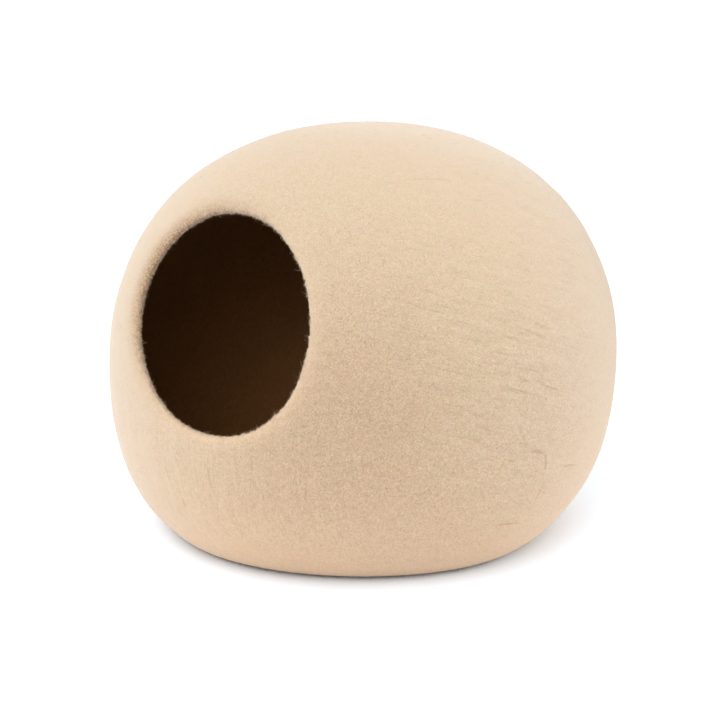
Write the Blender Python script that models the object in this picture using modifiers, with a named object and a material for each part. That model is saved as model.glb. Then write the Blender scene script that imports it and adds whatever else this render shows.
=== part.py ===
"""Felt cat cave: one seamless shell of thick wool felt.

A hollow, egg-like dome stands on a bottom that its own weight presses flat. A round mouth in the front wall
looks slightly upward, and its cut edge is felted into a soft lip that turns a little inward.

Frame: +Z up, the mouth faces -Y, the origin is on the floor under the middle of the cave. Lengths in metres.
"""

import math

import bmesh
import bpy
from mathutils import Matrix, Vector

# Body: a rounded solid with a waist, a crown above it and a belly below it.
WIDTH = 0.460
FRONT_REACH = 0.225
BACK_REACH = 0.245
WAIST_HEIGHT = 0.145
CROWN_RISE = 0.221
BELLY_DROP = 0.193

# Fullness of the side profile: 2 is an ellipse, more is squarer.
CROWN_FULLNESS = 2.20
BELLY_FULLNESS = 2.45

# Height over which the belly rolls into the flat bottom.
FLOOR_ROLL = 0.0185

# Hand-made unevenness: each row is a soft swell or hollow of the wall.
# heading is in degrees from the mouth towards +X, pitch in degrees above the waist.
SWELLS = (
    {"name": "left shoulder", "heading": -70, "pitch": 48, "spread": 26, "rise": -0.0015},
    {"name": "back shoulder", "heading": 141, "pitch": 43, "spread": 24, "rise": 0.0021},
    {"name": "right side", "heading": 130, "pitch": 18, "spread": 24, "rise": -0.0012},
    {"name": "right heel", "heading": 110, "pitch": -30, "spread": 22, "rise": -0.0060},
    {"name": "front foot", "heading": 35, "pitch": -38, "spread": 24, "rise": -0.0036},
)

# Mouth: an oval seen from the middle of the body, as angles in degrees.
MOUTH_TILT = 22.4
MOUTH_HALF_WIDTH = 23.3
MOUTH_HALF_HEIGHT = 26.0
MOUTH_LEAN = 32.2

# Felt and lip.
FELT_THICKNESS = 0.009
LIP_TURN = 0.010
LIP_DIP = 0.0030
LIP_ROUND = 0.0038

# Mesh: columns run round the mouth, rings run from the mouth to the back of the cave.
COLUMNS = 60
RINGS = 33
MOUTH_RING = 4
RING_CROWDING = 1.45

CREAM_WOOL = (0.76, 0.60, 0.43, 1.0)


def direction(heading, pitch):
    """Unit vector for a heading from the mouth (-Y) towards +X and a pitch above level, in degrees."""
    turn = math.radians(heading)
    rise = math.radians(pitch)
    return Vector((math.sin(turn) * math.cos(rise), -math.cos(turn) * math.cos(rise), math.sin(rise)))


BODY_MIDDLE = Vector((0.0, 0.0, WAIST_HEIGHT))
MOUTH_AXIS = direction(0, MOUTH_TILT)
MOUTH_RIGHT = Vector((1.0, 0.0, 0.0))
MOUTH_UP = MOUTH_RIGHT.cross(-MOUTH_AXIS)


def settle(height):
    """Height of a point after the floor has pressed the belly flat: level below, free above, rolled between."""
    if height >= FLOOR_ROLL:
        return height
    if height <= -FLOOR_ROLL:
        return 0.0
    return (height + FLOOR_ROLL) ** 2 / (4 * FLOOR_ROLL)


def swell(towards):
    """Rise of the wall over the plain body in one direction."""
    total = 0.0
    for row in SWELLS:
        away = towards.angle(direction(row["heading"], row["pitch"])) / math.radians(row["spread"])
        total += row["rise"] * math.exp(-0.5 * away * away)
    return total


def wall_point(towards, dip=0.0):
    """Point on the outer face of the wall, seen from the middle of the body in one direction."""
    fullness = CROWN_FULLNESS if towards.z > 0 else BELLY_FULLNESS
    level = math.hypot(towards.x, towards.y)
    scale = (level ** fullness + abs(towards.z) ** fullness) ** (-1 / fullness)
    reach = FRONT_REACH if towards.y < 0 else BACK_REACH
    rise = CROWN_RISE if towards.z > 0 else BELLY_DROP
    plain = Vector((towards.x * WIDTH / 2, towards.y * reach, towards.z * rise)) * scale
    point = BODY_MIDDLE + plain + towards * (swell(towards) - dip)
    point.z = settle(point.z)
    return point


def mouth_half_angle(around):
    """Half angle of the mouth oval at a place round its edge."""
    turned = around - math.radians(MOUTH_LEAN)
    across = math.cos(turned) / math.tan(math.radians(MOUTH_HALF_WIDTH))
    along = math.sin(turned) / math.tan(math.radians(MOUTH_HALF_HEIGHT))
    return math.atan(1 / math.hypot(across, along))


def lip_dip(distance):
    """How far the outer face has turned inward at a distance from the mouth's edge."""
    if distance >= LIP_TURN:
        return 0.0
    return LIP_DIP * (1 - math.sqrt(1 - (1 - distance / LIP_TURN) ** 2))


def shape_wall(surface):
    """Turn a unit sphere, its pole on +Z, into the open outer face of the cave."""
    first = math.pi * MOUTH_RING / RINGS
    for vert in surface.verts:
        polar = vert.co.angle(Vector((0, 0, 1)))
        around = math.atan2(vert.co.y, vert.co.x)
        edge = mouth_half_angle(around)
        travel = max(0.0, (polar - first) / (math.pi - first)) ** RING_CROWDING
        off_axis = edge + travel * (math.pi - edge)
        outward = MOUTH_RIGHT * math.cos(around) + MOUTH_UP * math.sin(around)
        towards = MOUTH_AXIS * math.cos(off_axis) + outward * math.sin(off_axis)
        distance = (off_axis - edge) * (wall_point(towards) - BODY_MIDDLE).length
        vert.co = wall_point(towards, lip_dip(distance))


def stand_on_origin(surface):
    """Move the wall so that the middle of its plan is over the origin."""
    xs = [vert.co.x for vert in surface.verts]
    ys = [vert.co.y for vert in surface.verts]
    middle = Vector(((min(xs) + max(xs)) / 2, (min(ys) + max(ys)) / 2, 0.0))
    bmesh.ops.transform(surface, matrix=Matrix.Translation(-middle), verts=surface.verts)


def felt_material():
    material = bpy.data.materials.new("cream_wool_felt")
    material.use_nodes = True
    shader = material.node_tree.nodes["Principled BSDF"]
    shader.inputs["Base Color"].default_value = CREAM_WOOL
    shader.inputs["Roughness"].default_value = 0.95
    shader.inputs["Metallic"].default_value = 0.0
    return material


def make_shell(collection):
    """The cave: an open outer face, thickened inward to the felt's thickness, with its cut edge rounded."""
    surface = bmesh.new()
    bmesh.ops.create_uvsphere(surface, u_segments=COLUMNS, v_segments=RINGS, radius=1.0)
    inside_mouth = math.cos(math.pi * (MOUTH_RING - 0.5) / RINGS)
    cut = [vert for vert in surface.verts if vert.co.z > inside_mouth]
    bmesh.ops.delete(surface, geom=cut, context="VERTS")
    shape_wall(surface)
    stand_on_origin(surface)
    bmesh.ops.recalc_face_normals(surface, faces=surface.faces)

    mesh = bpy.data.meshes.new("felt_shell")
    surface.to_mesh(mesh)
    surface.free()
    mesh.shade_smooth()
    mesh.materials.append(felt_material())
    shell = bpy.data.objects.new("felt_shell", mesh)
    collection.objects.link(shell)

    felt = shell.modifiers.new("felt thickness", "SOLIDIFY")
    felt.thickness = FELT_THICKNESS
    felt.offset = -1.0
    felt.use_even_offset = True
    felt.use_rim = True

    lip = shell.modifiers.new("rounded lip", "BEVEL")
    lip.limit_method = "ANGLE"
    lip.angle_limit = math.radians(50)
    lip.width = LIP_ROUND
    lip.segments = 3
    return shell


def main():
    for old in list(bpy.data.objects):
        bpy.data.objects.remove(old, do_unlink=True)
    cave = bpy.data.collections.new("felt_cat_cave")
    bpy.context.scene.collection.children.link(cave)
    make_shell(cave)


main()
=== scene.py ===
# %% [markdown]
# # A wool felt cat cave
#
# A cat cave is felted in one piece. Wool is laid over a ball, soaked, rubbed and shrunk until it holds
# together, and then one round hole is cut for the cat. There is no seam, no lining and no filling: only one
# thick cloth. The frame holds a plain solid of that shape. This lesson gives it a wall with a soft lip,
# wrinkles where the wool shrank unevenly, two colours of felt and the loose fibres that stand off it.

# %% Load the frame
import math
import random

import bmesh
import bpy
from mathutils import Matrix, Vector, noise
from mathutils.kdtree import KDTree


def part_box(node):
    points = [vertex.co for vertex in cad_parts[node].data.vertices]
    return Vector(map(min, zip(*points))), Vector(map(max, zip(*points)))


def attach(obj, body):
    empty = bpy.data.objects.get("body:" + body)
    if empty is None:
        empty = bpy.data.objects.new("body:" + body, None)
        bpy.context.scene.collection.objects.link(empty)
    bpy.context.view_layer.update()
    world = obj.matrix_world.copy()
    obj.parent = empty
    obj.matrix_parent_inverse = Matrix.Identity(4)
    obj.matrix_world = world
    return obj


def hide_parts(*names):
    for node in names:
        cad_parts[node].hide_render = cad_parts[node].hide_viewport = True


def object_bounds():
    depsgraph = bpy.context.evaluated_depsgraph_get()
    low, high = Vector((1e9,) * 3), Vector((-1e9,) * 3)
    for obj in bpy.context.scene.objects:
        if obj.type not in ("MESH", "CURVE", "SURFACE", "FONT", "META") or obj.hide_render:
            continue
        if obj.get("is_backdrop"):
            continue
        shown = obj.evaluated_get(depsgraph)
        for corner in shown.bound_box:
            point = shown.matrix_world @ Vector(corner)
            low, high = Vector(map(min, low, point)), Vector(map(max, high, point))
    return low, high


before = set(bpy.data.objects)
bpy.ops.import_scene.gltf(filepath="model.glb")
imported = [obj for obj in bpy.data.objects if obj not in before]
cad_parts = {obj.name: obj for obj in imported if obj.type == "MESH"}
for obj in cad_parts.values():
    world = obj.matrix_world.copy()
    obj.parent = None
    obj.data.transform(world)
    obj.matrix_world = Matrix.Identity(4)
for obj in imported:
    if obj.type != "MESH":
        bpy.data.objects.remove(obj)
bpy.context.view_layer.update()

MM = 0.001
shell_low, shell_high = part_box("felt_shell")
shell_middle = (shell_low + shell_high) / 2

# %% [markdown]
# ## The camera
#
# The camera stands a little above the cave and to the right of its mouth, as a buyer sees it on a low
# table. A long lens from over a metre and a half away keeps the round body from bulging. Its place is an
# angle and a distance round a point inside the cave, so each can be changed without the other.

# %% Place the camera
CAMERA_TURN = math.radians(37.46)
CAMERA_RISE = math.radians(15.0)
CAMERA_DISTANCE = 1.652
CAMERA_LENS = 90
AIM_RIGHT = -6.2 * MM
AIM_HEIGHT = 149 * MM
CAMERA_SEES_TO = 60


def facing(turn, rise):
    """Unit vector that points from the cave to someone who stands at that turn and height angle."""
    return Vector((math.sin(turn) * math.cos(rise), -math.cos(turn) * math.cos(rise), math.sin(rise)))


camera = bpy.data.objects.new("camera", bpy.data.cameras.new("camera"))
bpy.context.scene.collection.objects.link(camera)
aim = Vector((math.cos(CAMERA_TURN), math.sin(CAMERA_TURN), 0)) * AIM_RIGHT + Vector((0, 0, AIM_HEIGHT))
to_camera = facing(CAMERA_TURN, CAMERA_RISE)
camera.location = aim + to_camera * CAMERA_DISTANCE
camera.rotation_euler = to_camera.to_track_quat("Z", "Y").to_euler()
camera.data.lens = CAMERA_LENS
camera.data.clip_end = CAMERA_SEES_TO
bpy.context.scene.camera = camera
print("camera at", [round(value, 3) for value in camera.location])

# %% [markdown]
# ## The shape of the wall
#
# The body is a rounded solid with a waist, a crown above it and a belly below it. A superellipse gives both
# halves their fullness: with a power of 2 it is an ellipse, and a larger power makes it squarer. The belly
# rolls into a flat bottom where the weight of the cave presses it on the floor. A few wide swells and
# hollows keep it from being too regular. The sizes are the ones that the frame's solid was made with, so
# the skin lands on it. Only the foot is a little crisper: it has a tighter roll, and it tucks in more at
# the front.

# %% Describe the wall
WIDTH = 0.460
FRONT_REACH = 0.225
BACK_REACH = 0.245
WAIST_HEIGHT = 0.145
CROWN_RISE = 0.221
BELLY_DROP = 0.193
CROWN_FULLNESS = 2.20
BELLY_FULLNESS = 2.45
FLOOR_ROLL = 0.0120
NORMAL_STEP = 0.004
SWELLS = (
    {"name": "left shoulder", "heading": -70, "pitch": 48, "spread": 26, "rise": -0.0015},
    {"name": "back shoulder", "heading": 141, "pitch": 43, "spread": 24, "rise": 0.0021},
    {"name": "right side", "heading": 130, "pitch": 18, "spread": 24, "rise": -0.0012},
    {"name": "right heel", "heading": 110, "pitch": -30, "spread": 22, "rise": -0.0060},
    {"name": "front foot", "heading": 36, "pitch": -38, "spread": 24, "rise": -0.0098},
)
BODY_MIDDLE = Vector((0.0, 0.0, WAIST_HEIGHT))


def direction(heading, pitch):
    """Unit vector for a heading from the mouth towards +X and a pitch above the waist, in degrees."""
    return facing(math.radians(heading), math.radians(pitch))


def settle(height):
    """Height of a point once the bottom is pressed flat, with a soft roll into the flat."""
    if height >= FLOOR_ROLL:
        return height
    if height <= -FLOOR_ROLL:
        return 0.0
    return (height + FLOOR_ROLL) ** 2 / (4 * FLOOR_ROLL)


def swell(towards):
    """How far the hand-made swells push the wall out in that direction."""
    total = 0.0
    for row in SWELLS:
        away = towards.angle(direction(row["heading"], row["pitch"])) / math.radians(row["spread"])
        total += row["rise"] * math.exp(-0.5 * away * away)
    return total


def wall_point(towards):
    """Point of the outer wall that is seen from the body's middle in that direction."""
    fullness = CROWN_FULLNESS if towards.z > 0 else BELLY_FULLNESS
    level = math.hypot(towards.x, towards.y)
    scale = (level**fullness + abs(towards.z) ** fullness) ** (-1 / fullness)
    reach = FRONT_REACH if towards.y < 0 else BACK_REACH
    rise = CROWN_RISE if towards.z > 0 else BELLY_DROP
    plain = Vector((towards.x * WIDTH / 2, towards.y * reach, towards.z * rise)) * scale
    point = BODY_MIDDLE + plain + towards * swell(towards)
    point.z = settle(point.z)
    return point


def wall_step(towards, aside):
    """The way over the wall from just before a direction to just past it."""
    return wall_point((towards + aside).normalized()) - wall_point((towards - aside).normalized())


def wall_normal(towards):
    """Unit vector that points straight out of the wall, from four points close around."""
    side = towards.orthogonal().normalized()
    other = towards.cross(side)
    across = wall_step(towards, side * NORMAL_STEP)
    along = wall_step(towards, other * NORMAL_STEP)
    return across.cross(along).normalized()


print("waist at the right, mm:", [round(value / MM, 1) for value in wall_point(direction(90, 0))])

# %% [markdown]
# ## The mouth and its lip
#
# The hole is an oval that looks a little upwards. It is cut by hand, so its edge wanders by about half a
# millimetre. Wet hands then rub the cut edge round. The outside rolls over it in a long soft curve, and the
# inside turns in a tighter one. Both are quarter ellipses that meet in the middle of the wall.

# %% Describe the mouth
MOUTH_TURN = 0.3
MOUTH_TILT = 22.4
MOUTH_HALF_WIDTH = 23.1
MOUTH_HALF_HEIGHT = 25.9
MOUTH_LEAN = 32.2
FELT_THICKNESS = 9.0 * MM
LIP_MIDDLE = 4.5 * MM
LIP_ROLL = 10.0 * MM
LIP_TUCK = 4.0 * MM
MOUTH_REACH = 0.222
CUT_WANDER = 0.55 * MM
CUT_NICKS = 0.40 * MM
CUT_TUFTS = 1.10 * MM
TUFT_SIZE = 2.4 * MM
WANDER_DETAIL = 3.1
NICK_DETAIL = 17.0
NOISE_SLICE = 0.3

MOUTH_AXIS = direction(MOUTH_TURN, MOUTH_TILT)
MOUTH_RIGHT = direction(MOUTH_TURN + 90, 0)
MOUTH_UP = MOUTH_RIGHT.cross(-MOUTH_AXIS)


def mouth_edge(around):
    """Angle between the mouth's axis and its cut edge, that far round the hole."""
    turned = around - math.radians(MOUTH_LEAN)
    across = math.cos(turned) / math.tan(math.radians(MOUTH_HALF_WIDTH))
    along = math.sin(turned) / math.tan(math.radians(MOUTH_HALF_HEIGHT))
    place = Vector((math.cos(around), math.sin(around), NOISE_SLICE))
    wander = CUT_WANDER * noise.noise(place * WANDER_DETAIL) + CUT_NICKS * noise.noise(place * NICK_DETAIL)
    return math.atan(1 / math.hypot(across, along)) + wander / MOUTH_REACH


def tuft(around, across):
    """How far the small tufts of the cut edge stand out, that far round the hole and across the lip."""
    rim = MOUTH_REACH * math.sin(math.radians(MOUTH_HALF_WIDTH))
    place = Vector((math.cos(around) * rim, math.sin(around) * rim, across))
    return CUT_TUFTS * noise.noise(place / TUFT_SIZE)


def looking(around, off_axis):
    """Unit vector at an angle off the mouth's axis, that far round it."""
    outward = MOUTH_RIGHT * math.cos(around) + MOUTH_UP * math.sin(around)
    return MOUTH_AXIS * math.cos(off_axis) + outward * math.sin(off_axis)


print("mouth in degrees:", 2 * MOUTH_HALF_WIDTH, "x", 2 * MOUTH_HALF_HEIGHT)

# %% [markdown]
# ## Where the wool has creased
#
# Wet wool shrinks more where it is rubbed more, and the wall creases beside such places. The right flank
# has a bed of long creases that run down to the back. The heel has short hooked ones, and shallow upright
# ones run from the mouth to the foot. Each row is one crease: where it starts and ends, how deep it is and
# half its width. A depth below zero is a ridge. Noise could scatter them, but creases that are placed look
# like one particular cave.

# %% Lay the main creases
CREASES = (
    {"name": "flank 1", "start": (76, 22), "end": (83, 19.5), "depth": 0.75, "half_width": 1.1},
    {"name": "flank 2", "start": (70, 25), "end": (73, 24), "depth": 0.50, "half_width": 1.1},
    {"name": "flank 3", "start": (82, 22), "end": (88.5, 20), "depth": 0.55, "half_width": 1.1},
    {"name": "flank 4", "start": (60, 22.5), "end": (68.5, 20), "depth": 0.40, "half_width": 1.4},
    {"name": "flank 5", "start": (68, 20), "end": (76, 17), "depth": 0.60, "half_width": 1.2},
    {"name": "flank 6", "start": (75.5, 17), "end": (81, 15.5), "depth": 0.45, "half_width": 1.2},
    {"name": "flank 7", "start": (74, 20.5), "end": (81, 17.5), "depth": 0.50, "half_width": 1.2},
    {"name": "flank 8", "start": (63, 17.5), "end": (73.5, 15), "depth": 0.65, "half_width": 1.2},
    {"name": "flank 9", "start": (60.5, 16), "end": (70.5, 13), "depth": 0.45, "half_width": 1.3},
    {"name": "flank 10", "start": (69, 13.5), "end": (80, 10.5), "depth": 0.80, "half_width": 1.2},
    {"name": "flank 11", "start": (71, 11), "end": (75, 9), "depth": 0.50, "half_width": 1.1},
    {"name": "flank 12", "start": (74.5, 10), "end": (83.5, 5.5), "depth": 0.80, "half_width": 1.2},
    {"name": "flank 13", "start": (72.5, 7.5), "end": (78.5, 5.5), "depth": 0.55, "half_width": 1.1},
    {"name": "flank 14", "start": (66, 10.5), "end": (71, 7.5), "depth": 0.40, "half_width": 1.3},
    {"name": "flank 15", "start": (62, 8.5), "end": (72, 5.5), "depth": 0.35, "half_width": 1.4},
    {"name": "flank 16", "start": (57.5, 20.5), "end": (66, 18.5), "depth": 0.35, "half_width": 1.4},
    {"name": "flank 17", "start": (84, 16), "end": (93, 12.5), "depth": 0.37, "half_width": 1.2},
    {"name": "cheek 1", "start": (37, 31), "end": (46, 28), "depth": 0.26, "half_width": 1.2},
    {"name": "cheek 2", "start": (45, 22.5), "end": (57, 18.5), "depth": 0.32, "half_width": 1.3},
    {"name": "cheek 3", "start": (50, 15.5), "end": (60, 12.5), "depth": 0.32, "half_width": 1.3},
    {"name": "crown 1", "start": (57, 57.5), "end": (71.5, 56), "depth": 0.50, "half_width": 1.2},
    {"name": "crown 2", "start": (72, 50.5), "end": (78.5, 49.5), "depth": 0.40, "half_width": 1.1},
    {"name": "crown 3", "start": (56, 34), "end": (63.5, 33.5), "depth": 0.35, "half_width": 1.2},
    {"name": "shoulder rib 1", "start": (97, 38), "end": (104.5, 32.5), "depth": -0.35, "half_width": 1.4},
    {"name": "shoulder rib 2", "start": (94, 29.5), "end": (101.5, 26.5), "depth": -0.35, "half_width": 1.4},
    {"name": "heel 1", "start": (60.5, 2.5), "end": (65, 0), "depth": 0.40, "half_width": 1.3},
    {"name": "heel 2", "start": (64.5, 0), "end": (71.5, -2), "depth": 0.55, "half_width": 1.2},
    {"name": "heel 3", "start": (71.0, 0.7), "end": (74.5, -6.5), "depth": 0.62, "half_width": 1.2},
    {"name": "heel 4", "start": (76.5, -1.5), "end": (81.5, 1), "depth": 0.30, "half_width": 1.3},
    {"name": "heel hook", "start": (74.5, -6.5), "end": (79.9, -8.6), "depth": 1.25, "half_width": 1.2},
    {"name": "hook end", "start": (79.9, -8.4), "end": (80.9, -13.8), "depth": 1.05, "half_width": 1.2},
    {"name": "heel sweep", "start": (81.6, -15), "end": (79.5, -25.5), "depth": 0.35, "half_width": 1.6},
    {"name": "heel ridge", "start": (73.6, -8.7), "end": (78.9, -11.6), "depth": -0.65, "half_width": 1.8},
    {"name": "heel 5", "start": (87.2, -14.4), "end": (93.2, -15.8), "depth": 1.05, "half_width": 1.2},
    {"name": "heel 6", "start": (60, -14), "end": (71, -15.5), "depth": 0.32, "half_width": 1.3},
    {"name": "heel 7", "start": (70.0, -27.2), "end": (77.6, -28.3), "depth": 1.20, "half_width": 1.2},
    {"name": "foot 1", "start": (2.5, -9.5), "end": (4, -19.5), "depth": 0.45, "half_width": 1.2},
    {"name": "foot 2", "start": (4, -18.5), "end": (2.5, -27), "depth": 0.45, "half_width": 1.2},
    {"name": "foot 3", "start": (-10, -11), "end": (-9.5, -18), "depth": 0.40, "half_width": 1.3},
    {"name": "foot 4", "start": (-7.5, -6), "end": (-5, -12.5), "depth": 0.35, "half_width": 1.3},
    {"name": "foot 5", "start": (-0.5, -10.5), "end": (-0.5, -18), "depth": 0.40, "half_width": 1.3},
    {"name": "foot 6", "start": (-7, -21.5), "end": (-7, -25), "depth": 0.65, "half_width": 1.0},
    {"name": "foot 7", "start": (14, -5), "end": (14, -10), "depth": 0.40, "half_width": 1.2},
    {"name": "foot 8", "start": (20.5, -12), "end": (20.5, -18.5), "depth": 0.35, "half_width": 1.2},
    {"name": "foot 9", "start": (12, -13), "end": (10.5, -26), "depth": 0.28, "half_width": 1.4},
    {"name": "foot 10", "start": (26, -7), "end": (24.5, -22), "depth": 0.22, "half_width": 1.4},
    {"name": "left flank 1", "start": (-66, 14), "end": (-80, 10), "depth": 0.60, "half_width": 1.2},
    {"name": "left flank 2", "start": (-72, 9), "end": (-88, 6), "depth": 0.50, "half_width": 1.2},
    {"name": "left flank 3", "start": (-95, -6), "end": (-110, -9), "depth": 0.50, "half_width": 1.2},
    {"name": "left flank 4", "start": (-84, 17), "end": (-99, 12), "depth": 0.60, "half_width": 1.2},
    {"name": "back 1", "start": (132, 24), "end": (149, 20), "depth": 0.50, "half_width": 1.2},
    {"name": "back 2", "start": (140, 15), "end": (158, 13), "depth": 0.60, "half_width": 1.2},
    {"name": "back 3", "start": (-160, -5), "end": (-144, -9), "depth": 0.50, "half_width": 1.2},
    {"name": "back 4", "start": (150, 9), "end": (163, 4), "depth": 0.50, "half_width": 1.3},
)
CREASE_STEP = 1.0 * MM
CREASE_WOBBLE = 1.3 * MM
CREASE_REACH = 7.0 * MM
CREASE_BENDS = 55
CREASE_GAPS = 90
CREASE_TAPER = 0.6
RIDGE_SHARE = 0.8


def crease_points(row, number):
    """Points along one crease on the outer wall, a step apart, with how deep it is at each."""
    start = direction(*row["start"])
    end = direction(*row["end"])
    length = start.angle(end) * MOUTH_REACH
    count = math.ceil(length / CREASE_STEP)
    aside = start.cross(end).normalized()
    for step in range(count + 1):
        share = step / count
        bend = noise.noise(Vector((share * length * CREASE_BENDS, number * 7.3, 0.5)))
        drift = bend * CREASE_WOBBLE / MOUTH_REACH
        towards = (start.slerp(end, share) + aside * drift).normalized()
        uneven = 0.75 + 0.5 * noise.noise(Vector((share * length * CREASE_GAPS, number * 3.7, 8.1)))
        yield wall_point(towards), row["depth"] * MM * uneven * math.sin(math.pi * share) ** CREASE_TAPER


laid = []
for number, row in enumerate(CREASES):
    for point, depth in crease_points(row, number):
        laid.append((point, number, depth))
crease_tree = KDTree(len(laid))
for index, (point, number, depth) in enumerate(laid):
    crease_tree.insert(point, index)
crease_tree.balance()


def crease_depth(point):
    """How far the creases near a point of the wall push it in: each is a trough between two low ridges."""
    nearest = {}
    for place, index, away in crease_tree.find_range(point, CREASE_REACH):
        number = laid[index][1]
        if number not in nearest or away < nearest[number][0]:
            nearest[number] = (away, laid[index][2])
    total = 0.0
    for number, (away, depth) in nearest.items():
        across = (away / (CREASES[number]["half_width"] * MM)) ** 2
        total += depth * (1 - RIDGE_SHARE * across) * math.exp(-0.5 * across)
    return total


print(len(CREASES), "creases laid with", len(laid), "points")

# %% [markdown]
# ## One skin for the whole cave
#
# The outer face, the lip and the inner face are one surface with no edge, like a ball that is pushed in
# through its own mouth. So the skin starts as one round ball. Its rings, counted from one pole, become the
# outside from the back to the lip, then the lip, then the inside back to the far end. Nothing has to be
# joined or capped, and the wall can't have a gap. The ball is cut finer along the lip and the creases,
# because that is where it bends most.

# %% Cut a ball finer along the lip and the creases
COLUMNS = 208
OUTER_RINGS = 108
ROLL_RINGS = 6
TUCK_RINGS = 5
INNER_RINGS = 26
RINGS = OUTER_RINGS + ROLL_RINGS + TUCK_RINGS + INNER_RINGS
LIP_CROWDING = 0.35
INNER_CROWDING = 0.5
CROWDING_POWER = 1.6
FINER = (12 * MM, 7 * MM, 3.2 * MM)
LIP_BAND = 6 * MM


def crowded(share, slope):
    """Share of the way from the lip to the far pole. Steps are slope times as long beside the lip."""
    return slope * share + (1 - slope) * share**CROWDING_POWER


def skin_place(ball_point):
    """Where a point of the ball belongs: its direction, its depth in the wall and its way past the lip."""
    around = math.atan2(ball_point.y, ball_point.x)
    ring = ball_point.angle(Vector((0, 0, 1))) / math.pi * RINGS
    edge = mouth_edge(around)
    if ring <= OUTER_RINGS:
        start = edge + LIP_ROLL / MOUTH_REACH
        travel = crowded(1 - ring / OUTER_RINGS, LIP_CROWDING)
        return looking(around, start + travel * (math.pi - start)), 0.0, -LIP_ROLL - travel
    ring -= OUTER_RINGS
    if ring <= ROLL_RINGS:
        bend = ring / ROLL_RINGS * math.pi / 2
        back = LIP_ROLL * (1 - math.sin(bend)) - tuft(around, bend * LIP_MIDDLE) * math.sin(bend) ** 2
        return looking(around, edge + back / MOUTH_REACH), LIP_MIDDLE * (1 - math.cos(bend)), -max(0.0, back)
    ring -= ROLL_RINGS
    if ring <= TUCK_RINGS:
        bend = ring / TUCK_RINGS * math.pi / 2
        across = (math.pi / 2 + bend) * LIP_MIDDLE
        back = LIP_TUCK * (1 - math.cos(bend)) - tuft(around, across) * math.cos(bend) ** 2
        depth = LIP_MIDDLE + (FELT_THICKNESS - LIP_MIDDLE) * math.sin(bend)
        return looking(around, edge + back / MOUTH_REACH), depth, bend * (LIP_MIDDLE + LIP_TUCK) / 2
    ring -= TUCK_RINGS
    start = edge + LIP_TUCK / MOUTH_REACH
    travel = crowded(ring / INNER_RINGS, INNER_CROWDING)
    path = math.pi / 2 * (LIP_MIDDLE + LIP_TUCK) / 2 + travel * (math.pi - start) * MOUTH_REACH
    return looking(around, start + travel * (math.pi - start)), FELT_THICKNESS, path


def needs_cutting(ball_point, reach):
    """True for an outer point within reach of a crease and, in the first round, for a point of the lip."""
    towards, depth, path = skin_place(ball_point)
    if reach == FINER[0] and abs(path) < LIP_BAND:
        return True
    return depth == 0 and crease_tree.find(wall_point(towards))[2] < reach


def rank(parts, key):
    """Sort one kind of a mesh's parts by a key."""
    places = {part: place for place, part in enumerate(sorted(parts, key=key))}
    parts.sort(key=places.get)
    parts.index_update()


def put_in_order(mesh):
    """Sort a mesh's points by place, and its edges and faces by their points.

    Blender makes a ball's faces in another order on each run. Fibres are drawn face by face, so without
    this they would grow in other places each time.
    """
    rank(mesh.verts, lambda vert: vert.co.to_tuple())
    rank(mesh.edges, lambda edge: sorted(vert.index for vert in edge.verts))
    rank(mesh.faces, lambda face: sorted(vert.index for vert in face.verts))


skin = bmesh.new()
bmesh.ops.create_uvsphere(skin, u_segments=COLUMNS, v_segments=RINGS, radius=1)
put_in_order(skin)
for reach in FINER:
    close = {vert for vert in skin.verts if needs_cutting(vert.co, reach)}
    edges = [edge for edge in skin.edges if edge.verts[0] in close and edge.verts[1] in close]
    bmesh.ops.subdivide_edges(skin, edges=edges, cuts=1, use_grid_fill=True)
    put_in_order(skin)
print("ball cut into", len(skin.faces), "faces")

# %% [markdown]
# ## From the ball to the wall
#
# Each point of the ball now moves to its place in the wall. Two sizes of lumps follow the wool's thicker
# and thinner places, and the creases are pressed in. All of that fades out near the floor, so the bottom
# stays flat, and none of it reaches the frame's own size. A ball that is pushed in through its own mouth
# can end up inside out, and then its volume is below zero. So the sign of the volume says whether its faces
# have to be turned.

# %% Shape the skin
LUMPS = ({"size": 60 * MM, "height": 0.7 * MM}, {"size": 22 * MM, "height": 0.28 * MM})
FOOT_FADE = 12 * MM


def lump(point):
    """Height of the wool's uneven lumps at a point of the wall."""
    return sum(row["height"] * noise.noise(point / row["size"]) for row in LUMPS)


path_layer = skin.verts.layers.float.new("past_lip")
crease_layer = skin.verts.layers.float.new("crease")
for vert in skin.verts:
    towards, depth, path = skin_place(vert.co)
    point = wall_point(towards)
    free = min(1.0, point.z / FOOT_FADE)
    pressed = crease_depth(point)
    rise = lump(point) - pressed
    if depth > 0:
        point -= wall_normal(towards) * depth
    vert.co = point + towards * rise * free
    vert[path_layer] = path
    # How deep the creases press in, which the material uses for painted shade in them.
    vert[crease_layer] = min(1.0, max(0.0, pressed / MM)) if depth == 0 else 0.0

bmesh.ops.recalc_face_normals(skin, faces=skin.faces)
if skin.calc_volume(signed=True) < 0:
    bmesh.ops.reverse_faces(skin, faces=skin.faces)
low = Vector([min(vert.co[axis] for vert in skin.verts) for axis in range(3)])
high = Vector([max(vert.co[axis] for vert in skin.verts) for axis in range(3)])
foot_middle = Vector(((low.x + high.x) / 2, (low.y + high.y) / 2, low.z))
shift = Vector((shell_middle.x, shell_middle.y, 0)) - foot_middle
bmesh.ops.translate(skin, verts=skin.verts, vec=shift)
print("skin in mm:", [round(side / MM, 1) for side in high - low])
print("felt in litres:", round(skin.calc_volume(signed=True) * 1000, 2))
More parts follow.
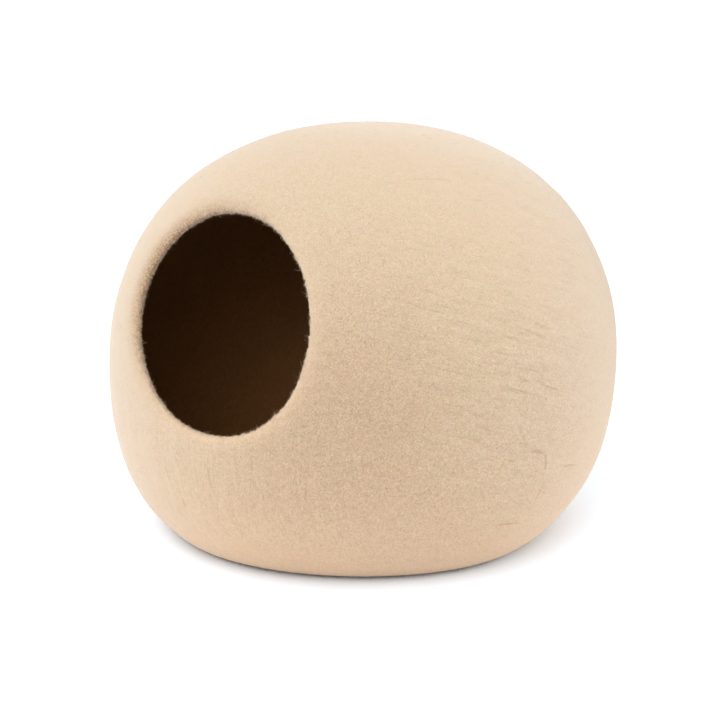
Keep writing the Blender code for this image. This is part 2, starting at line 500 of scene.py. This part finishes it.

# %% [markdown]
# ## Where fine wrinkles gather
#
# Between the main creases lie many finer wrinkles, too small to model. The felt's material draws them with
# bumps and painted shade, but only in some places, so the skin carries an amount from 0 to 1 for each kind:
# wrinkles that lie level, round the body, and wrinkles that stand upright. Other amounts say where the wool
# is coarser, where it has a warmer tone of honey, and where a pool of light is painted on the inside. Each
# row is a soft round patch. The last amounts follow the lip and the foot: the upper left of the lip has
# brown fibres mixed in and painted shade, the rest of it has a smoother grain and a painted highlight, and
# a painted warm glow low down stands for the light that the floor throws up.

# %% Mark the wrinkled patches, the lip and the foot
PATCHES = {
    "level_wrinkles": (
        {"heading": 71, "pitch": 14, "spread": 14, "amount": 1.0},
        {"heading": 78, "pitch": -10, "spread": 13, "amount": 0.8},
        {"heading": 50, "pitch": 22, "spread": 13, "amount": 0.5},
        {"heading": 66, "pitch": 52, "spread": 13, "amount": 0.2},
        {"heading": 97, "pitch": 33, "spread": 9, "amount": 0.5},
        {"heading": -75, "pitch": 10, "spread": 18, "amount": 0.8},
        {"heading": 148, "pitch": 16, "spread": 20, "amount": 0.8},
        {"heading": -150, "pitch": -8, "spread": 20, "amount": 0.7},
    ),
    "upright_wrinkles": (
        {"heading": -3, "pitch": -16, "spread": 14, "amount": 0.7},
        {"heading": 22, "pitch": -14, "spread": 12, "amount": 0.5},
        {"heading": -30, "pitch": -5, "spread": 12, "amount": 0.15},
        {"heading": 175, "pitch": -25, "spread": 18, "amount": 0.5},
    ),
    "coarse_wool": (
        {"heading": 33, "pitch": 1, "spread": 29, "amount": 1.0},
        {"heading": 70, "pitch": -26, "spread": 18, "amount": 0.50},
        {"heading": 84, "pitch": 6, "spread": 14, "amount": 0.25},
        {"heading": 3, "pitch": 50, "spread": 16, "amount": 0.25},
        {"heading": -140, "pitch": -5, "spread": 30, "amount": 0.8},
        {"heading": 150, "pitch": 15, "spread": 25, "amount": 0.6},
    ),
    "honey_wool": (
        {"heading": 32, "pitch": 5, "spread": 19, "amount": 1.0},
        {"heading": 12, "pitch": -28, "spread": 16, "amount": 0.5},
        {"heading": 62, "pitch": -22, "spread": 20, "amount": 0.5},
        {"heading": -120, "pitch": 20, "spread": 25, "amount": 0.35},
        {"heading": 155, "pitch": -10, "spread": 22, "amount": 0.30},
    ),
    # Painted light: the brown is painted paler where light through the mouth falls on the inside.
    "painted_inside_light": (
        {"heading": -141, "pitch": -24, "spread": 19, "amount": 1.0},
        {"heading": 60, "pitch": -35, "spread": 30, "amount": 0.4},
    ),
}
RIM_BROWN_SHADE_FROM = 147
RIM_BROWN_SHADE_SPREAD = 45
RIM_BROWN_SHADE_REACH = 10.0 * MM
RIM_SMOOTH_HIGHLIGHT_REACH = 10.0 * MM
FOOT_REACH = 75 * MM


def patch_amount(towards, patches):
    """How much of one kind of patch the wall has in that direction."""
    total = 0.0
    for row in patches:
        away = towards.angle(direction(row["heading"], row["pitch"])) / math.radians(row["spread"])
        total += row["amount"] * math.exp(-0.5 * away * away)
    return min(1.0, total)


def rim_share(towards):
    """How much of the lip's brown, painted-shade part lies that way: 1 at its upper left, 0 on the far side.
    """
    around = math.atan2(towards.dot(MOUTH_UP), towards.dot(MOUTH_RIGHT))
    turn = (math.degrees(around) - RIM_BROWN_SHADE_FROM + 180) % 360 - 180
    return math.exp(-0.5 * (turn / RIM_BROWN_SHADE_SPREAD) ** 2)


LIP_AND_FOOT = ("rim_brown_and_shade", "rim_smooth_and_highlight", "foot")
layers = {name: skin.verts.layers.float.new(name) for name in (*PATCHES, *LIP_AND_FOOT)}
for vert in skin.verts:
    towards = (vert.co - shift - BODY_MIDDLE).normalized()
    for name, patches in PATCHES.items():
        vert[layers[name]] = patch_amount(towards, patches)
    before_lip = max(0.0, -vert[path_layer])
    share = rim_share(towards)
    # Brown fibres and painted shade at the upper left of the lip.
    vert[layers["rim_brown_and_shade"]] = share * math.exp(-before_lip / RIM_BROWN_SHADE_REACH)
    # Smoother grain and a painted highlight on the lip away from its upper left.
    vert[layers["rim_smooth_and_highlight"]] = (1 - share) * math.exp(-before_lip / RIM_SMOOTH_HIGHLIGHT_REACH)
    # Painted light: how much of the painted floor glow a point gets, most near the floor.
    vert[layers["foot"]] = math.exp(-vert.co.z / FOOT_REACH)
print("marked:", ", ".join(layers))

# %% [markdown]
# ## A short way to write materials
#
# A material here is a sum of many small patterns. Written as plain Python expressions they stay readable,
# so a small class wraps one socket and turns + - * into Math nodes. A second class holds the material. Its
# one method adds any other node: first the node's settings, then its sockets.

# %% Write the shader helpers
class Amount:
    """A number that a material works out at each point of the surface."""

    def __init__(self, finish, socket):
        self.finish = finish
        self.socket = socket

    def combine(self, operation, first, second):
        """Join two amounts or numbers with a Math node."""
        sockets = {"Value": first, "Value_001": second}
        return self.finish.node("ShaderNodeMath", {"operation": operation}, sockets)

    def __add__(self, other):
        return self.combine("ADD", self, other)

    def __sub__(self, other):
        return self.combine("SUBTRACT", self, other)

    def __rsub__(self, other):
        return self.combine("SUBTRACT", other, self)

    def __mul__(self, other):
        return self.combine("MULTIPLY", self, other)

    def __abs__(self):
        return self.finish.node("ShaderNodeMath", {"operation": "ABSOLUTE"}, {"Value": self})

    __radd__ = __add__
    __rmul__ = __mul__


class Finish:
    """A material whose nodes are added one by one."""

    def __init__(self, name):
        self.material = bpy.data.materials.new(name)
        self.material.use_nodes = True
        self.tree = self.material.node_tree
        self.tree.nodes.clear()

    def node(self, kind, settings, sockets, outlet=0):
        """Add a node, set it up, fill its sockets by identifier, and return one of its outputs."""
        made = self.tree.nodes.new(kind)
        for name, value in settings.items():
            setattr(made, name, value)
        places = {socket.identifier: socket for socket in made.inputs}
        for name, value in sockets.items():
            if isinstance(value, Amount):
                self.tree.links.new(value.socket, places[name])
            else:
                places[name].default_value = value
        found = [socket for socket in made.outputs if outlet in (socket.identifier, 0)]
        return Amount(self, found[0]) if found else None

    def pattern(self, place, scale, detail=2.0, roughness=0.5, distortion=0.0):
        """Noise from 0 to 1 at so many grains a metre."""
        sockets = {"Vector": place, "Scale": scale, "Detail": detail}
        sockets.update({"Roughness": roughness, "Distortion": distortion})
        return self.node("ShaderNodeTexNoise", {"noise_dimensions": "3D"}, sockets, "Fac")

    def smooth(self, value, start, end):
        """0 below start, 1 above end, with a soft step between them."""
        sockets = {"Value": value, "From Min": start, "From Max": end}
        return self.node("ShaderNodeMapRange", {"interpolation_type": "SMOOTHSTEP"}, sockets, "Result")

    def blend(self, share, first, second, how="MIX"):
        """Mix two colours."""
        sockets = {"Factor_Float": share, "A_Color": first, "B_Color": second}
        return self.node("ShaderNodeMix", {"data_type": "RGBA", "blend_type": how}, sockets, "Result_Color")

    def bump(self, height, distance, under=None):
        """Normals of a relief that is so many metres high where height is 1, on top of the one under it."""
        sockets = {"Height": height, "Distance": distance, "Strength": 1.0}
        if under is not None:
            sockets["Normal"] = under
        return self.node("ShaderNodeBump", {}, sockets, "Normal")

    def attribute(self, name):
        """A number that the skin carries at each of its points."""
        return self.node("ShaderNodeAttribute", {"attribute_name": name}, {}, "Fac")


print("helpers ready")

# %% [markdown]
# ## The brown felt
#
# The inside was felted from a dark brown wool. It has no sheen, because its dark hairs return little light.
# Low at the far right it is painted paler, a painted pool of the light that comes in through the mouth.
# The shader is a helper of its own, since the cream felt turns into it.

# %% Mix the brown felt
INNER_BROWN = (0.164, 0.068, 0.017, 1)
INNER_BROWN_PALE = (0.335, 0.158, 0.058, 1)
BROWN_GRAIN = 420
BROWN_RELIEF = 0.9 * MM


def brown_shader(finish, place):
    """The wool of the inside, to be used alone or mixed with the cream one."""
    grain = finish.pattern(place, BROWN_GRAIN, 3.0, 0.6, 1.0)
    # Pale spots of grain, and a painted pool of light where the inside is painted paler brown.
    pale = finish.smooth(grain, 0.30, 0.80) * 0.35 + finish.attribute("painted_inside_light") * 0.75
    wool = finish.blend(pale, INNER_BROWN, INNER_BROWN_PALE)
    relief = finish.bump(grain, BROWN_RELIEF)
    return finish.node("ShaderNodeBsdfPrincipled", {}, {
        "Base Color": wool, "Normal": relief, "Roughness": 0.95, "Specular IOR Level": 0.15,
    })


def brown_felt():
    """The inside of the cave."""
    finish = Finish("brown_wool_felt")
    place = finish.node("ShaderNodeTexCoord", {}, {}, "Object")
    finish.node("ShaderNodeOutputMaterial", {}, {"Surface": brown_shader(finish, place)})
    return finish.material


brown = brown_felt()
print("brown felt has", len(brown.node_tree.nodes), "nodes")

# %% [markdown]
# ## The cream felt
#
# Felt is matt and a little hairy. From close by it is a mat of pale fibre ends over small dark pits, in
# pebbly tufts of 2 to 3 mm, and it has faint yellow and pink clouds where the batts of wool differ. The
# pits are partly the wool's own tone and partly painted shade between the tufts. Where it was rubbed less,
# on the cheek and the heel, the grain is coarser. Hairs catch the light at a slant, which the sheen gives.
#
# All tones are multiplied on one after the other: honey in its patches, a painted warm glow low down that
# stands for the light the floor throws up, a painted contact shadow in a dark line where the foot touches
# the floor, a painted highlight on the lip away from its upper left, painted shade in the creases and
# wrinkles, and at the upper left of the lip brown fibres darkened further with painted shade. The two wools
# mix over several millimetres at the lip, with a ragged border.

# %% Mix the cream felt
CREAM_YELLOW = (0.3805, 0.2955, 0.2000, 1)
CREAM_PINK = (0.3885, 0.2905, 0.2045, 1)
DEEPER_BATT = (0.995, 0.992, 0.965, 1)
HONEY = (0.980, 0.920, 0.860, 1)
# Painted light and shade: a highlight on the lip, a warm glow low down for the light the floor throws up, and
# a dark contact shadow line at the foot.
PAINTED_RIM_HIGHLIGHT = (1.03, 1.04, 1.06, 1)
PAINTED_FLOOR_GLOW = (1.63, 1.39, 1.19, 1)
PAINTED_CONTACT_SHADOW = (0.45, 0.42, 0.42, 1)
CONTACT_SHADOW_TO = 3.5 * MM
CREAM_PALE = (1.26, 1.31, 1.40, 1)
CREAM_SHADE = (0.74, 0.69, 0.60, 1)
# Brown fibres and painted shade together darken the upper left of the lip.
RIM_BROWN_SHADE_TINT = (0.60, 0.475, 0.37, 1)
TUFT_GRAIN = 330
FIBRE_GRAIN = 1000
THREAD_GRAIN = 300
PIT_GRAIN = 620
PEPPER_GRAIN = 640
PINK_CLOUDS = 105
DEEP_CLOUDS = 85
GRAIN_EVERYWHERE = 0.16
GRAIN_LOST_AT_LIP = 0.6
SLANT = (math.radians(-19), 0, 0)
UPRIGHT = (0, 0, 0)
LEVEL_WAVE = (48 * MM, 34 * MM, 6.5 * MM)
LEVEL_DASH = (26 * MM, 18 * MM, 2.8 * MM)
UPRIGHT_WAVE = (7 * MM, 14 * MM, 44 * MM)
UPRIGHT_DASH = (3.0 * MM, 6 * MM, 16 * MM)
GRAIN_RELIEF = 1.0 * MM
WRINKLE_RELIEF = 1.5 * MM
BORDER_RAGS = 16 * MM
BORDER_FROM = 0.5 * MM
BORDER_TO = 7.0 * MM


def wool_grain_and_pit_shade(finish, place):
    """Shade of the wool from fibre to fibre, round 0: pale threads above 0 and dark pits below."""
    tufts = finish.pattern(place, TUFT_GRAIN, 3.0, 0.6, 0.8)
    fibres = finish.pattern(place, FIBRE_GRAIN, 2.0, 0.65, 1.2)
    threads = finish.smooth(abs(finish.pattern(place, THREAD_GRAIN, 1.0, 0.5, 2.6) - 0.5), 0.03, 0.0)
    # Dark pits: partly the wool's own tone and partly painted shade between the tufts.
    pits = finish.smooth(finish.pattern(place, PIT_GRAIN, 1.0), 0.36, 0.24)
    return (tufts - 0.5) * 0.6 + (fibres - 0.5) * 2.25 + threads * 0.32 - pits * 0.46


def turned_to(finish, place, size, turn):
    """Coordinates in which one unit is a pattern's size along each of its own turned axes."""
    sockets = {"Vector": place, "Rotation": turn, "Scale": size}
    return finish.node("ShaderNodeMapping", {"vector_type": "TEXTURE"}, sockets)


def wrinkles(finish, place, wave_size, dash_size, turn, name):
    """Soft waves and short dashes in line with them, in the patches of that name, for bumps and painted
    shade.
    """
    here = finish.attribute(name)
    wave = finish.pattern(turned_to(finish, place, wave_size, turn), 1.0, 2.0) - 0.5
    dash = finish.smooth(finish.pattern(turned_to(finish, place, dash_size, turn), 1.0, 2.0), 0.40, 0.26)
    return wave * here, dash * here


def cream_felt():
    """The outside of the cave, which turns brown past the lip."""
    finish = Finish("cream_wool_felt")
    place = finish.node("ShaderNodeTexCoord", {}, {}, "Object")
    rim_smooth_and_highlight = finish.attribute("rim_smooth_and_highlight")
    coarse = GRAIN_EVERYWHERE + (1 - GRAIN_EVERYWHERE) * finish.attribute("coarse_wool")
    # The grain carries the wool's own tone and the painted shade of the pits between the tufts.
    grain = wool_grain_and_pit_shade(finish, place) * coarse * (1 - GRAIN_LOST_AT_LIP * rim_smooth_and_highlight)
    waves, dashes = wrinkles(finish, place, LEVEL_WAVE, LEVEL_DASH, SLANT, "level_wrinkles")
    folds, splits = wrinkles(finish, place, UPRIGHT_WAVE, UPRIGHT_DASH, UPRIGHT, "upright_wrinkles")
    pink = finish.smooth(finish.pattern(place, PINK_CLOUDS, 3.0, 0.6), 0.36, 0.64)
    deep = finish.smooth(finish.pattern(place, DEEP_CLOUDS, 3.0, 0.6, 0.4), 0.36, 0.64)
    wool = finish.blend(pink, CREAM_YELLOW, CREAM_PINK)
    wool = finish.blend(deep, wool, DEEPER_BATT, "MULTIPLY")
    wool = finish.blend(finish.attribute("honey_wool"), wool, HONEY, "MULTIPLY")
    # Painted light: a warm glow low down stands for the light that the floor throws up.
    wool = finish.blend(finish.attribute("foot"), wool, PAINTED_FLOOR_GLOW, "MULTIPLY")
    height = finish.node("ShaderNodeSeparateXYZ", {}, {"Vector": place}, "Z")
    # Painted shadow: a dark line where the foot touches the floor.
    wool = finish.blend(finish.smooth(height, CONTACT_SHADOW_TO, 0.0), wool, PAINTED_CONTACT_SHADOW, "MULTIPLY")
    # Painted highlight: the lip away from its upper left is painted paler.
    wool = finish.blend(rim_smooth_and_highlight, wool, PAINTED_RIM_HIGHLIGHT, "MULTIPLY")
    # Painted shade: creases, dashes and splits are darkened, and wave hollows are darker than the crests.
    painted_wrinkle_shade = dashes * 0.14 + splits * 0.12 + finish.attribute("crease") * 0.22 - (waves + folds) * 0.22
    shade = finish.smooth(0.5 + grain - painted_wrinkle_shade, 0.0, 1.0)
    wool = finish.blend(1.0, wool, finish.blend(shade, CREAM_SHADE, CREAM_PALE), "MULTIPLY")
    pepper = finish.smooth(finish.pattern(place, PEPPER_GRAIN, 2.0, 0.6), 0.40, 0.60)
    # Brown fibres and painted shade darken the upper left of the lip, in peppered specks.
    rim_brown_shade = finish.attribute("rim_brown_and_shade") * (0.50 + 0.80 * pepper)
    wool = finish.blend(rim_brown_shade, wool, RIM_BROWN_SHADE_TINT, "MULTIPLY")
    relief = finish.bump(grain * 0.4, GRAIN_RELIEF)
    relief = finish.bump((waves + folds) * 1.3 - dashes * 0.14 - splits * 0.10, WRINKLE_RELIEF, relief)
    cream = finish.node("ShaderNodeBsdfPrincipled", {}, {
        "Base Color": wool, "Normal": relief, "Roughness": 0.93, "Specular IOR Level": 0.25,
        "Sheen Weight": 0.28, "Sheen Roughness": 0.5, "Sheen Tint": (1.0, 1.0, 1.0, 1),
    })
    rags = finish.pattern(place, PEPPER_GRAIN, 3.0, 0.7, 1.5) - 0.5
    turned_in = finish.smooth(finish.attribute("past_lip") + rags * BORDER_RAGS, BORDER_FROM, BORDER_TO)
    sockets = {"Fac": turned_in, "Shader": cream, "Shader_001": brown_shader(finish, place)}
    both = finish.node("ShaderNodeMixShader", {}, sockets)
    finish.node("ShaderNodeOutputMaterial", {}, {"Surface": both})
    return finish.material


cream = cream_felt()
print("cream felt has", len(cream.node_tree.nodes), "nodes")

# %% [markdown]
# ## The loose wool
#
# A single fibre end lets light through, so it looks paler than the felt it grows from. It is too thin for a
# grain of its own, and one plain cream is enough.

# %% Mix the loose wool
LOOSE_CREAM = (0.48, 0.355, 0.235, 1)


def loose_wool():
    """The finish of all fibres that stand off the felt."""
    finish = Finish("loose_cream_wool")
    fibre = finish.node("ShaderNodeBsdfPrincipled", {}, {
        "Base Color": LOOSE_CREAM, "Roughness": 0.85, "Specular IOR Level": 0.3, "Sheen Weight": 0.3,
    })
    finish.node("ShaderNodeOutputMaterial", {}, {"Surface": fibre})
    return finish.material


loose = loose_wool()
print("loose wool mixed")

# %% [markdown]
# ## The finished wall
#
# The skin becomes an object with the two felts. The change of colour is drawn across the lip inside the
# cream felt's material, so the border between the two materials is brown on both sides and can't be seen.

# %% Make the wall an object
BROWN_FROM = 12.0 * MM


def finished_piece(name, mesh, materials):
    """An object at the origin that rides on the cave's one body."""
    piece = bpy.data.objects.new(name, mesh)
    bpy.context.scene.collection.objects.link(piece)
    for material in materials:
        mesh.materials.append(material)
    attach(piece, "root")
    return piece


for face in skin.faces:
    face.smooth = True
    if min(vert[path_layer] for vert in face.verts) > BROWN_FROM:
        face.material_index = 1
wall_mesh = bpy.data.meshes.new("felt_cave")
skin.to_mesh(wall_mesh)
skin.free()
felt_cave = finished_piece("felt_cave", wall_mesh, (cream, brown))
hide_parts("felt_shell")
wall_mesh.calc_loop_triangles()
print("wall of", len(wall_mesh.loop_triangles), "triangles")

# %% [markdown]
# ## Loose fibres
#
# However well it is rubbed, wool keeps a light fuzz of fibre ends. They show where there is something of
# another colour behind them: round the outline, across the dark mouth and along the floor. A handful of
# curled fibres is made once with a thin cone, and thousands of copies are joined into one mesh. A particle
# system would do the same, but joined copies stay plain meshes that any program can read.

# %% Curl a few fibres
FIBRE_KINDS = 8
FIBRE_SEGMENTS = 3
draw = random.Random(11)


def curled_fibre(bend, twist):
    """A mesh of one fibre, 1 long and 1 thick, which leaves its root upright and curls over."""
    fibre = bmesh.new()
    bmesh.ops.create_cone(
        fibre, cap_ends=True, cap_tris=False, segments=3, radius1=0.5, radius2=0.15, depth=1,
        matrix=Matrix.Translation((0, 0, 0.5)),
    )
    long_edges = [edge for edge in fibre.edges if abs(edge.verts[0].co.z - edge.verts[1].co.z) > 0.5]
    bmesh.ops.subdivide_edges(fibre, edges=long_edges, cuts=FIBRE_SEGMENTS - 1)
    mesh = bpy.data.meshes.new("fibre")
    fibre.to_mesh(mesh)
    fibre.free()
    return mesh, bend, twist


kinds = [curled_fibre(draw.uniform(0.2, 0.9), draw.uniform(-1.5, 1.5)) for kind in range(FIBRE_KINDS)]
print("fibre faces:", len(kinds[0][0].polygons))

# %% [markdown]
# Each fibre is bent along its length as it is placed. Short ones stand all over the outside and round the
# foot, many thicker tufts of them line the cut edge, and a few long hairs reach across the dark mouth.

# %% Bend the fibres and join them
FIBRE_SWAY = 0.18
MOUTH_FROM_MIDDLE = 0.20
JUST_ABOVE_FLOOR = 0.1 * MM


def fibre_corners(kind, length, thickness):
    """Corners of a fibre of that length and thickness, bent over along +X."""
    mesh, bend, twist = kind
    corners = []
    for vert in mesh.vertices:
        along = vert.co.z
        angle = bend * along
        lean = length * (1 - math.cos(angle)) / bend
        climb = length * math.sin(angle) / bend
        sway = length * FIBRE_SWAY * math.sin(twist * 2 * along)
        slim = Vector((vert.co.x, vert.co.y, 0)) * thickness
        corners.append(Vector((lean, sway, climb)) + slim)
    return corners


MOUTH_MIDDLE = BODY_MIDDLE + shift + MOUTH_AXIS * MOUTH_FROM_MIDDLE


def scatter(name, roots, thickness, lengths, tilts, spin):
    """One mesh of a fibre at each root, a point and its normal. It leans to the mouth, give or take the spin.

    A fibre that reaches the floor lies along it.
    """
    points = []
    faces = []
    for root, normal in roots:
        kind = draw.choice(kinds)
        length = draw.uniform(*lengths)
        inwards = MOUTH_MIDDLE - root
        side = (inwards - normal * inwards.dot(normal)).normalized()
        side.rotate(Matrix.Rotation(draw.uniform(-spin, spin), 3, normal))
        tilt = draw.uniform(*tilts)
        up = normal * math.cos(tilt) + side * math.sin(tilt)
        over = side * math.cos(tilt) - normal * math.sin(tilt)
        turn = Matrix((over, up.cross(over), up)).transposed()
        first = len(points)
        for corner in fibre_corners(kind, length, thickness):
            point = root + turn @ corner
            point.z = max(point.z, JUST_ABOVE_FLOOR)
            points.append(point)
        for polygon in kind[0].polygons:
            faces.append([first + index for index in polygon.vertices])
    mesh = bpy.data.meshes.new(name)
    mesh.from_pydata(points, [], faces)
    mesh.shade_smooth()
    return mesh


print("fibres lean to the mouth at", [round(value, 3) for value in MOUTH_MIDDLE])

# %% [markdown]
# Where fibres grow is a weight for each face of the wall: even over the outside, in a narrow band round the
# foot, and in clumps round the lip. Each root sits a little below the surface, so that no fibre floats.

# %% Scatter the fibres
ROOT_DEPTH = 0.15 * MM
CLUMP_SIZE = 5 * MM
LOWEST_FIBRE = 0.8 * MM
FOOT_FUZZ_HEIGHT = 1.8 * MM
FOOT_FUZZ_SPREAD = 1.0 * MM
LIP_FUZZ_MIDDLE = 1.6 * MM
LIP_FUZZ_SPREAD = 2.2 * MM
past_lip = [value.value for value in wall_mesh.attributes["past_lip"].data]


def roots_on(mesh, count, weight):
    """Random roots on a mesh, each a point and its normal. More of them are on faces of more weight."""
    faces = mesh.polygons
    weights = [weight(face) for face in faces]
    for face in draw.choices(faces, weights, k=count):
        corners = [mesh.vertices[index].co for index in face.vertices]
        shares = [draw.random() for corner in corners]
        total = sum(shares)
        point = Vector((0, 0, 0))
        for share, corner in zip(shares, corners):
            point += corner * share / total
        yield point - face.normal * ROOT_DEPTH, face.normal.copy()


def outside_weight(face):
    """Fibres grow evenly on the outside, and not under the bottom."""
    if face.material_index == 1 or face.center.z < LOWEST_FIBRE:
        return 0.0
    return face.area


def foot_weight(face):
    """Fibres rubbed loose round the foot, close above the floor."""
    above = (face.center.z - FOOT_FUZZ_HEIGHT) / FOOT_FUZZ_SPREAD
    return outside_weight(face) * math.exp(-0.5 * above ** 2)


def lip_weight(face):
    """Fibres grow thickly round the lip's curve, in clumps, and most of all where it turns inwards."""
    path = past_lip[face.vertices[0]]
    clump = 0.25 + max(0.0, noise.noise(face.center / CLUMP_SIZE))
    return face.area * clump * math.exp(-0.5 * ((path - LIP_FUZZ_MIDDLE) / LIP_FUZZ_SPREAD) ** 2)


FUZZ = {
    "surface_fuzz": {"count": 7000, "thick": 0.17, "long": (1.5, 4.0), "tilt": (0.5, 1.2), "spin": math.pi},
    "foot_fuzz": {"count": 1000, "thick": 0.45, "long": (1.5, 3.6), "tilt": (0.0, 0.9), "spin": math.pi},
    "lip_tufts": {"count": 1000, "thick": 0.42, "long": (0.9, 2.1), "tilt": (0.5, 1.3), "spin": 1.0},
    "lip_fuzz": {"count": 2600, "thick": 0.26, "long": (1.3, 3.2), "tilt": (0.5, 1.4), "spin": 1.2},
    "lip_hairs": {"count": 80, "thick": 0.22, "long": (4.0, 7.5), "tilt": (0.6, 1.3), "spin": 1.2},
}
WHERE_IT_GROWS = {"surface_fuzz": outside_weight, "foot_fuzz": foot_weight}

fuzz = []
for name, row in FUZZ.items():
    grows = WHERE_IT_GROWS.get(name, lip_weight)
    roots = roots_on(wall_mesh, row["count"], grows)
    lengths = [length * MM for length in row["long"]]
    mesh = scatter(name, roots, row["thick"] * MM, lengths, row["tilt"], row["spin"])
    fuzz.append(finished_piece(name, mesh, (loose,)))
for piece in fuzz:
    piece.data.calc_loop_triangles()
    print(piece.name, "has", len(piece.data.loop_triangles), "triangles")

# %% [markdown]
# ## How much cloth it is
#
# The wall is one cloth. It was never flat: it was felted in the round. Its area is that of a square a
# little over three quarters of a metre each way.

# %% [markdown]
# ## Floor and light
#
# A wide white floor runs out of sight behind the cave. Round the cave it is a touch cool, which cancels the
# cream light that the cave itself throws on it, so its shadow stays neutral.

# %% Lay the floor
FLOOR_NEAR = (0.815, 0.888, 0.968, 1)
FLOOR_FAR = (0.900, 0.930, 0.965, 1)
FLOOR_REACH = 20
NEAR_ENDS = 0.5
FAR_STARTS = 1.5

ground = bmesh.new()
bmesh.ops.create_grid(ground, x_segments=8, y_segments=8, size=FLOOR_REACH)
ground_mesh = bpy.data.meshes.new("floor")
ground.to_mesh(ground_mesh)
ground.free()
floor = bpy.data.objects.new("floor", ground_mesh)
bpy.context.scene.collection.objects.link(floor)
paper = Finish("floor_paper")
spot = paper.node("ShaderNodeTexCoord", {}, {}, "Object")
away = paper.node("ShaderNodeVectorMath", {"operation": "LENGTH"}, {"Vector": spot}, "Value")
white = paper.blend(paper.smooth(away, NEAR_ENDS, FAR_STARTS), FLOOR_NEAR, FLOOR_FAR)
paper_shader = paper.node("ShaderNodeBsdfPrincipled", {}, {
    "Base Color": white, "Roughness": 0.9, "Specular IOR Level": 0.1,
})
paper.node("ShaderNodeOutputMaterial", {}, {"Surface": paper_shader})
ground_mesh.materials.append(paper.material)
floor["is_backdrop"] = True
print("floor laid")

# %% [markdown]
# ## The lights
#
# Big soft panels stand at both sides, and one stands in front, left of the camera. The front panel is the
# one that reaches through the mouth and lights the far right of the inside. The white room lights
# everything a little from all round, and the panels lift the open floor to white, so only a tight shadow is
# left at the foot.

# %% Hang the lights
LIGHTS = (
    {"name": "low left", "turn": -88, "rise": 8, "watts": 1.3},
    {"name": "left", "turn": -95, "rise": 35, "watts": 3.8},
    {"name": "high left", "turn": -75, "rise": 60, "watts": 7.8},
    {"name": "low right", "turn": 75, "rise": 12, "watts": 12.7},
    {"name": "high right", "turn": 70, "rise": 60, "watts": 2.6},
    {"name": "front", "turn": -20, "rise": 35, "watts": 13.3},
)
LIGHT_DISTANCE = 1.6
LIGHT_SIZE = 1.2
ROOM_LIGHT = 1.13

for row in LIGHTS:
    panel = bpy.data.objects.new(row["name"] + " light", bpy.data.lights.new(row["name"], "AREA"))
    bpy.context.scene.collection.objects.link(panel)
    towards = facing(CAMERA_TURN + math.radians(row["turn"]), math.radians(row["rise"]))
    panel.location = BODY_MIDDLE + towards * LIGHT_DISTANCE
    panel.rotation_euler = towards.to_track_quat("Z", "Y").to_euler()
    panel.data.shape = "DISK"
    panel.data.size = LIGHT_SIZE
    panel.data.energy = row["watts"]

room = bpy.data.worlds.new("room")
bpy.context.scene.world = room
room.use_nodes = True
room.node_tree.nodes["Background"].inputs["Color"].default_value = (1, 1, 1, 1)
room.node_tree.nodes["Background"].inputs["Strength"].default_value = ROOM_LIGHT
bpy.context.scene.view_settings.view_transform = "Standard"
print(len(LIGHTS), "panels and the room")

# %% [markdown]
# ## The finished size
#
# The box round all that is shown, the fibres too, is printed in millimetres.

# %% Print the finished size
low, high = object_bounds()
print("finished box in mm:", [round(side / MM, 1) for side in high - low])
